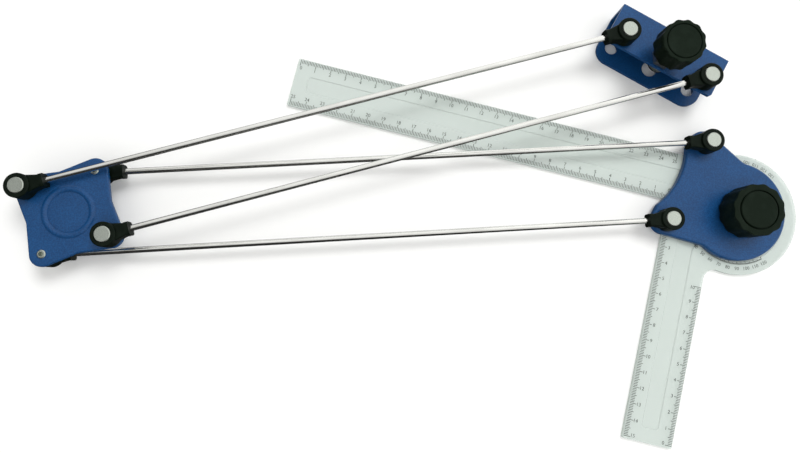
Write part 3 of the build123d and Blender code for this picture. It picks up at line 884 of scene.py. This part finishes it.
@dataclass
class CarriedOver:
    """The nodes that keep their own shape, and their finishes."""

    upper: tuple[str, str] = ("clamp_pivot_pins", "elbow_upper_pins")
    lower: tuple[str, str] = ("elbow_lower_pins", "head_pivot_pins")

    def rods(self) -> dict[Finish, tuple[str, ...]]:
        """A finish for each pair of rods, its lines along the pair."""
        pairs = {}
        for pair, pins in (("upper", self.upper), ("lower", self.lower)):
            start, end = (pin_pair(node)[0] for node in pins)
            turn = atan2(end.y - start.y, end.x - start.x)
            pairs[BrightSteel(f"bright_steel_{pair}", Slot.ROD, turn)] = (f"{pair}_rod_a", f"{pair}_rod_b")
        return pairs

    def build(self) -> None:
        """Gives every node its material."""
        plan: dict[Finish, tuple[str, ...]] = {
            ENAMEL: ("clamp_frame", "elbow_plate", "head_plate"),
            CAP_STEEL: (*self.upper, *self.lower, "clamp_pad"),
            ZINC: ("clamp_screw", "clamp_bush", "hub", "knob_washer"),
            BRASS: ("knob_insert",),
            RUBBER: ("clamp_pad_facing",),
            NYLON: (
                "clamp_washers",
                "elbow_upper_washers",
                "elbow_lower_washers",
                "head_spacers",
                "scale_bushing",
                "friction_ring",
            ),
            EYE_PLASTIC: tuple(name for name in frame["nodes"] if name.endswith("_end")),
            KNOB_PLASTIC: ("clamp_knob", "clamp_knob_cap", "head_knob", "head_knob_cap"),
            ACRYLIC: ("scale",),
        }
        plan.update(self.rods())
        for finish, nodes in plan.items():
            for name in nodes:
                mesh = frame["nodes"][name].data
                mesh.materials.clear()
                mesh.materials.append(finish.material())
        log.info("finishes: %d on %d nodes", len(plan), sum(len(nodes) for nodes in plan.values()))


# ---------------------------------------------------------------- studio


@dataclass
class Studio:
    """Floor, light and camera."""

    floor_size: float = 6.0
    camera_distance: float = 0.3666
    camera_elevation: float = 83.8
    camera_azimuth: float = -7.42
    camera_roll: float = 21.91
    aim_shift: tuple[float, float] = (-0.0077, -0.0332)
    lens: float = 26.88
    key_power: float = 23.0
    key_size: float = 0.8
    key_distance: float = 2.2
    key_from: tuple[float, float, float] = (0.05, 0.60, 1.25)
    fill_power: float = 4.0
    fill_size: float = 1.6
    fill_distance: float = 1.6
    fill_from: tuple[float, float, float] = (0.6, -0.5, 1.3)
    sky: float = 0.70

    def middle(self) -> Vector:
        """Middle of the object's plan, on the clamp's own level."""
        low, high = (Vector(corner) for corner in CAD_BOX)
        return Vector(((low.x + high.x) / 2, (low.y + high.y) / 2, 0.0))

    def floor(self) -> None:
        """A pale floor under the lowest point."""
        Bench.clear()
        place = (*self.middle().xy, CAD_BOX[0][2])
        bpy.ops.mesh.primitive_plane_add(size=self.floor_size, location=place)
        floor = bpy.context.object
        floor.name = "studio_floor"
        bpy.ops.object.transform_apply(location=True, rotation=True, scale=True)
        floor.data.materials.append(FLOOR.material())
        floor.visible_glossy = False

    def camera(self) -> None:
        """A camera almost overhead, turned in its own plane."""
        aim = self.middle() + Vector((*self.aim_shift, 0.0))
        azimuth, elevation = radians(self.camera_azimuth), radians(self.camera_elevation)
        looking = Vector((sin(azimuth) * cos(elevation), cos(azimuth) * cos(elevation), -sin(elevation)))
        bpy.ops.object.camera_add(location=aim - looking * self.camera_distance)
        camera = bpy.context.object
        camera.rotation_mode = "QUATERNION"
        level = looking.to_track_quat("-Z", "Y")
        camera.rotation_quaternion = level @ Euler((0, 0, radians(self.camera_roll))).to_quaternion()
        camera.data.lens = self.lens
        bpy.context.scene.camera = camera

    def lamp(self, name: str, direction: Vector, distance: float, size: float, power: float) -> None:
        """A square soft light that faces the object's middle."""
        bpy.ops.object.light_add(type="AREA", location=self.middle() + direction.normalized() * distance)
        lamp = bpy.context.object
        lamp.name = name
        lamp.rotation_mode = "QUATERNION"
        lamp.rotation_quaternion = (-direction).to_track_quat("-Z", "Y")
        lamp.data.size = size
        lamp.data.energy = power
        lamp.visible_glossy = False

    def sky_light(self) -> None:
        """An even pale surround that mirrors dimmer on the near side, as a room does."""
        world = bpy.data.worlds.new("studio_sky")
        bpy.context.scene.world = world
        board = NodeBoard(world)
        ray = board.add("ShaderNodeTexCoord", output="Generated")
        parts = board.add("ShaderNodeSeparateXYZ", inputs={0: ray})
        across, away, up = (Signal(board, parts.socket.node.outputs[name]) for name in "XYZ")
        towards = across * 0.35 + away * 0.8 + up * 0.35
        mirrored = board.span(towards, -0.12, 0.08, 0.03, 0.85) + board.span(towards, 0.1, 0.7, 0.0, 0.4)
        glossy = board.add("ShaderNodeLightPath", output="Is Glossy Ray")
        strength = (1 - glossy) * self.sky + glossy * mirrored
        board.show(
            board.add("ShaderNodeBackground", inputs={"Color": (1.0, 1.0, 0.99, 1.0), "Strength": strength}),
            "ShaderNodeOutputWorld",
        )

    def build(self) -> None:
        """Sets up the whole studio."""
        bpy.context.scene.view_settings.view_transform = "Standard"
        self.floor()
        self.camera()
        self.sky_light()
        key, fill = Vector(self.key_from), Vector(self.fill_from)
        self.lamp("key_light", key, self.key_distance, self.key_size, self.key_power)
        self.lamp("fill_light", fill, self.fill_distance, self.fill_size, self.fill_power)


def main() -> None:
    """Builds every sub-assembly in order."""
    CarriedOver().build()
    Knob(
        name="clamp_knob",
        body="clamp_screw",
        grip_radius=13.2,
        cap_radius=10.2,
        collar_radius=7.6,
        collar_height=3.8,
        bore_radius=4.0,
        bore_depth=9.0,
        grip_node="clamp_knob",
        cap_node="clamp_knob_cap",
        groove_width=0.25,
        rim_drop=0.0,
    ).build()
    Knob(
        name="head_knob",
        body="head_knob",
        grip_radius=16.1,
        cap_radius=11.4,
        collar_radius=9.5,
        collar_height=0.0,
        bore_radius=6.0,
        bore_depth=12.6,
        grip_node="head_knob",
        cap_node="head_knob_cap",
    ).build()
    ScaleMarks().build()
    Studio().build()


if __name__ == "__main__":
    main()
